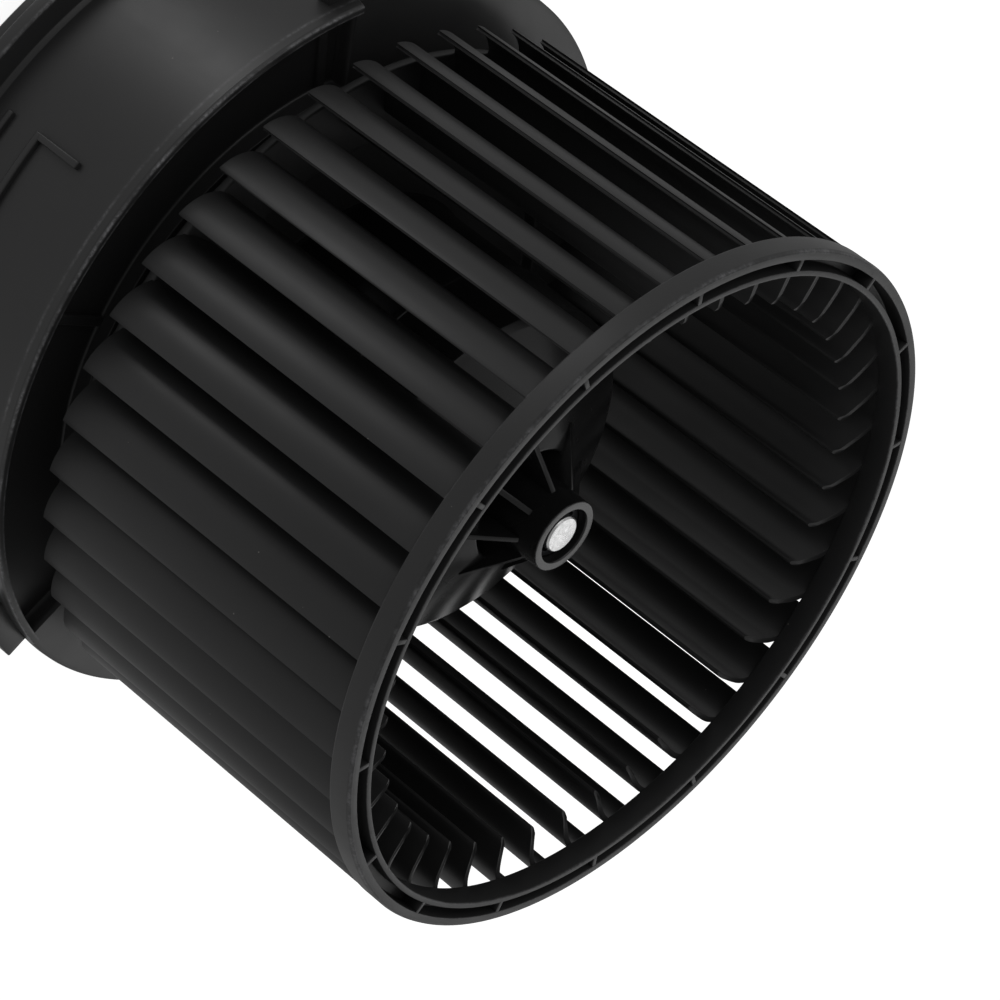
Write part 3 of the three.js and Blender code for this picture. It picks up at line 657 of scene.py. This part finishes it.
# ------------------------------------------------------------------ rear cover
cover = Shape("cover_shell")
cover.lathe([
    (0, 3.1), (80.3, 3.1, 0), (80.8, 2.9, 0.3), (80.8, 0.8, 0.5), (80.0, 0.0, 0.6), (44.4, 0.0, 0.3), (44.0, 0.8, 0.3),
    (18.0, 0.8, 0.3), (17.6, 0.0, 0.3), (0, 0.0),
], 240, closed=False)
cover_obj = cover.object()
tool = Shape("cutter")
for i in range(12):
    ang = i * 30 + 15
    slot2d = fillet([(-6, -1.3, 1.25), (6, -1.3, 1.25), (6, 1.3, 1.25), (-6, 1.3, 1.25)], True, 5)
    tool.prism(slot2d, -1.5, 1.5 + 3.0, Matrix.Rotation(math.radians(ang), 4, "Z") @ Matrix.Translation((31, 0, 0)))
for a in (0, 60, 120, 180, 240, 300):
    x, y = polar(73.6, a)
    prof = [(0, -1.0), (4.0, -1.0), (4.0, 1.9), (1.9, 1.9), (1.9, 4.5), (0, 4.5)]
    segs = 48
    verts, rings = [], []
    for r, z in prof:
        if r < 1e-6:
            rings.append([len(verts)] * segs)
            verts.append((x, y, z))
        else:
            rings.append([len(verts) + k for k in range(segs)])
            verts += [(x + r * math.cos(2 * math.pi * k / segs), y + r * math.sin(2 * math.pi * k / segs), z) for k in range(segs)]
    fcs = []
    for i in range(len(prof) - 1):
        for k in range(segs):
            q = [rings[i][k], rings[i][(k + 1) % segs], rings[i + 1][(k + 1) % segs], rings[i + 1][k]]
            f = [v for j, v in enumerate(q) if v not in q[:j]]
            if len(f) > 2:
                fcs.append(f)
    tool.shell(verts, fcs)
cx, cy = polar(56.0, 285.0)
tool.prism(fillet([(cx - 11.8, cy - 7.6, 1.0), (cx + 11.8, cy - 7.6, 1.0), (cx + 11.8, cy + 7.6, 1.0), (cx - 11.8, cy + 7.6, 1.0)], True, 4), -1.0, 5.0)
cut(cover_obj, tool.object())
bevelled(cover_obj, 0.18, 2, 50)
piece(cover_obj, BASE, "housing", angle=40)
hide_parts("rear_cover")

# ------------------------------------------------------------------ screws
def screw(name, x, y, z, head_r, head_h, shank, slot_turn):
    s = Shape(name)
    prof = fillet([(0.001, z - head_h), (head_r * 0.55, z - head_h, 0.6), (head_r, z - head_h * 0.55, 0.5), (head_r, z, 0.15), (1.7, z, 0.2)], False, 4)
    pitch, zz = 1.0, z
    while zz + pitch < z + shank - 1.5:
        prof += [(1.62, zz + 0.15), (1.3, zz + pitch * 0.5), (1.62, zz + pitch * 0.85)]
        zz += pitch
    prof += [(1.3, z + shank - 1.0), (0.4, z + shank), (0.001, z + shank)]
    segs = 40
    verts, rings = [], []
    for r, h in prof:
        if r < 0.01:
            rings.append([len(verts)] * segs)
            verts.append((x, y, h))
        else:
            rings.append([len(verts) + k for k in range(segs)])
            verts += [(x + r * math.cos(2 * math.pi * k / segs), y + r * math.sin(2 * math.pi * k / segs), h) for k in range(segs)]
    fcs = []
    for i in range(len(prof) - 1):
        for k in range(segs):
            q = [rings[i][k], rings[i][(k + 1) % segs], rings[i + 1][(k + 1) % segs], rings[i + 1][k]]
            f = [v for j, v in enumerate(q) if v not in q[:j]]
            if len(f) > 2:
                fcs.append(f)
    s.shell(verts, fcs)
    o = s.object()
    # the cross recess is one outline, so that the cutter never crosses itself
    a, b = 1.7, 0.32
    cross = [(a, -b), (a, b), (b, b), (b, a), (-b, a), (-b, b), (-a, b), (-a, -b), (-b, -b), (-b, -a), (b, -a), (b, -b)]
    t = Shape("cutter")
    t.prism(cross, z - head_h - 1, z - head_h + 0.75, Matrix.Translation((x, y, 0)) @ Matrix.Rotation(math.radians(slot_turn), 4, "Z"))
    cut(o, t.object())
    piece(o, SCREW, "housing", [name.replace("fastener_", "")], angle=35)


for i, a in enumerate((30, 150, 270)):
    x, y = polar(42.2, a)
    screw("fastener_motor_screw_%d" % (i + 1), x, y, 9.1, 3.6, 2.4, 14, 17 * i)
for i, a in enumerate((0, 60, 120, 180, 240, 300)):
    x, y = polar(73.6, a)
    screw("fastener_cover_screw_%d" % (i + 1), x, y, 1.6, 3.4, 1.4, 12, 23 * i)

# ------------------------------------------------------------------ brush springs
def coil(name, start, end, radius, wire, turns, y, z, joint, node):
    """A coil spring along X between two end coils laid close, running from start to end."""
    s = Shape(name)
    steps, around = int(turns * 28), 10
    length = end - start
    verts, faces = [], []
    for i in range(steps + 1):
        f = i / steps
        # the first and last turn lie nearly flat
        e = 1.0 / turns
        g = f * 0.35 if f < e else (1 - (1 - f) * 0.35 if f > 1 - e else 0.35 * e + (f - e) * (1 - 0.70 * e) / (1 - 2 * e))
        a = 2 * math.pi * turns * f
        cx, cy, cz = start + length * g, radius * math.cos(a), radius * math.sin(a)
        out = Vector((0, math.cos(a), math.sin(a)))
        for j in range(around):
            w = 2 * math.pi * j / around
            verts.append((cx + wire * math.sin(w), y + cy + out.y * wire * math.cos(w), z + cz + out.z * wire * math.cos(w)))
    for i in range(steps):
        for j in range(around):
            k = (j + 1) % around
            faces.append([i * around + j, i * around + k, (i + 1) * around + k, (i + 1) * around + j])
    faces.append(list(range(around)))
    faces.append([steps * around + j for j in range(around)])
    s.shell(verts, faces)
    o = s.object()
    piece(o, SPRING, "housing", [node], angle=60)
    return o



for n_, sign in (("brush_spring_1", 1), ("brush_spring_2", -1)):
    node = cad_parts[n_]
    pts = [node.matrix_world @ v.co for v in node.data.vertices]
    lo = Vector((min(q.x for q in pts), min(q.y for q in pts), min(q.z for q in pts))) / MM
    hi = Vector((max(q.x for q in pts), max(q.y for q in pts), max(q.z for q in pts))) / MM

    wire = 0.16
    r_ = min(hi.y - lo.y, hi.z - lo.z) / 2 - wire - 0.02
    o = coil("coil_" + n_, lo.x + wire + 0.02, hi.x - wire - 0.02, r_, wire, 5.0, (lo.y + hi.y) / 2, (lo.z + hi.z) / 2, None, n_)
    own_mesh(o)

# ------------------------------------------------------------------ carried-over CAD pieces
FINISH = {
    "armature_core": CORE, "armature_windings": COPPER, "commutator": COMM, "front_thrust_washer": NYLON, "rear_thrust_washer": NYLON,
    "thrust_pad": NYLON, "motor_can": ZINC, "end_cap": ZINC, "front_bearing": BRONZE, "rear_bearing": BRONZE,
    "front_bearing_retainer": SPRING, "rear_bearing_retainer": SPRING, "magnet_1": FERRITE, "magnet_2": FERRITE,
    "magnet_spring_1": SPRING, "magnet_spring_2": SPRING, "brush_plate": PHENOLIC, "brush_holder_1": BRASS, "brush_holder_2": BRASS,
    "carbon_brush_1": CARBON, "carbon_brush_2": CARBON,
    "choke_1": COPPER, "choke_2": COPPER, "front_isolation_ring": RUBBER, "rear_isolation_ring": RUBBER,
    "connector_housing": CONNECTOR, "terminal_positive": BRASS, "terminal_negative": BRASS, "lead_positive": RED, "lead_negative": DARK,
}
for name, mat in FINISH.items():
    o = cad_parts[name]
    if not o.data.materials:
        o.data.materials.append(mat)
    for s in o.material_slots:
        s.material = mat

# ------------------------------------------------------------------ floor, light, camera
floor_me = bpy.data.meshes.new("floor")
S = 30.0
floor_me.from_pydata([(-S, -S, -0.0002), (S, -S, -0.0002), (S, S, -0.0002), (-S, S, -0.0002)], [], [(0, 1, 2, 3)])
floor = bpy.data.objects.new("floor", floor_me)
bpy.context.scene.collection.objects.link(floor)
fm = Mat("floor_white", Roughness=0.9)
fm.bsdf.inputs["Base Color"].default_value = (0.5, 0.5, 0.5, 1)
fm.bsdf.inputs["Emission Color"].default_value = (1, 1, 1, 1)
fm.bsdf.inputs["Emission Strength"].default_value = 0.90
fm.bsdf.inputs["Specular IOR Level"].default_value = 0.0
floor_me.materials.append(fm.done())
# the floor is a plain white sheet that light passes, as on a lit table
floor.visible_shadow = False
floor.visible_diffuse = False
floor.visible_glossy = False

world = bpy.data.worlds.new("studio")
bpy.context.scene.world = world
world.use_nodes = True
sky = world.node_tree
sky.nodes["Background"].inputs[0].default_value = (1, 1, 1, 1)
# an even tent, dimmer towards the open front where nothing stands but the camera
heading = sky.nodes.new("ShaderNodeTexCoord")
facing = sky.nodes.new("ShaderNodeVectorMath")
facing.operation = "DOT_PRODUCT"
facing.inputs[1].default_value = Vector((0.25, 0.50, 0.83)).normalized()
sky.links.new(heading.outputs["Generated"], facing.inputs[0])
tent = sky.nodes.new("ShaderNodeMapRange")
tent.interpolation_type = "SMOOTHSTEP"
tent.inputs["From Min"].default_value = 0.1
tent.inputs["From Max"].default_value = 0.95
tent.inputs["To Min"].default_value = 0.43
tent.inputs["To Max"].default_value = 0.25
sky.links.new(facing.outputs["Value"], tent.inputs["Value"])
sky.links.new(tent.outputs["Result"], sky.nodes["Background"].inputs["Strength"])

RIGHT = Vector((0.43995, -0.56820, 0.69540))
UP = Vector((0.84508, 0.0, -0.53464))
BACK = Vector((0.30379, 0.82289, 0.48018))
CENTRE = Vector((0, 0, 0.09))


def softbox(name, direction, distance, size, power, aim=CENTRE, size_y=None):
    d = direction.normalized()
    data = bpy.data.lights.new(name, "AREA")
    data.shape = "RECTANGLE"
    data.size = size
    data.size_y = size_y or size
    data.energy = power
    o = bpy.data.objects.new(name, data)
    bpy.context.scene.collection.objects.link(o)
    o.location = aim + d * distance
    o.rotation_mode = "QUATERNION"
    o.rotation_quaternion = (-d).to_track_quat("-Z", "Y")
    return o


softbox("table", Vector((0.722, 0.36, -0.589)), 1.5, 0.30, 1.9, size_y=0.7)
softbox("key", Vector((0.75, 0.25, 0.65)), 1.5, 1.0, 2.0)
softbox("back", Vector((-0.30, -0.82, 0.48)), 1.5, 0.7, 1.2)

cam_data = bpy.data.cameras.new("camera")
cam_data.lens = 151.04
cam_data.sensor_width = 36.0
cam_data.clip_start, cam_data.clip_end = 0.01, 100.0
cam = bpy.data.objects.new("camera", cam_data)
bpy.context.scene.collection.objects.link(cam)
cam.matrix_world = Matrix((
    (RIGHT.x, UP.x, BACK.x, 0.2425),
    (RIGHT.y, UP.y, BACK.y, 0.6626),
    (RIGHT.z, UP.z, BACK.z, 0.48895),
    (0, 0, 0, 1),
))
bpy.context.scene.camera = cam
bpy.context.scene.view_settings.view_transform = "Standard"
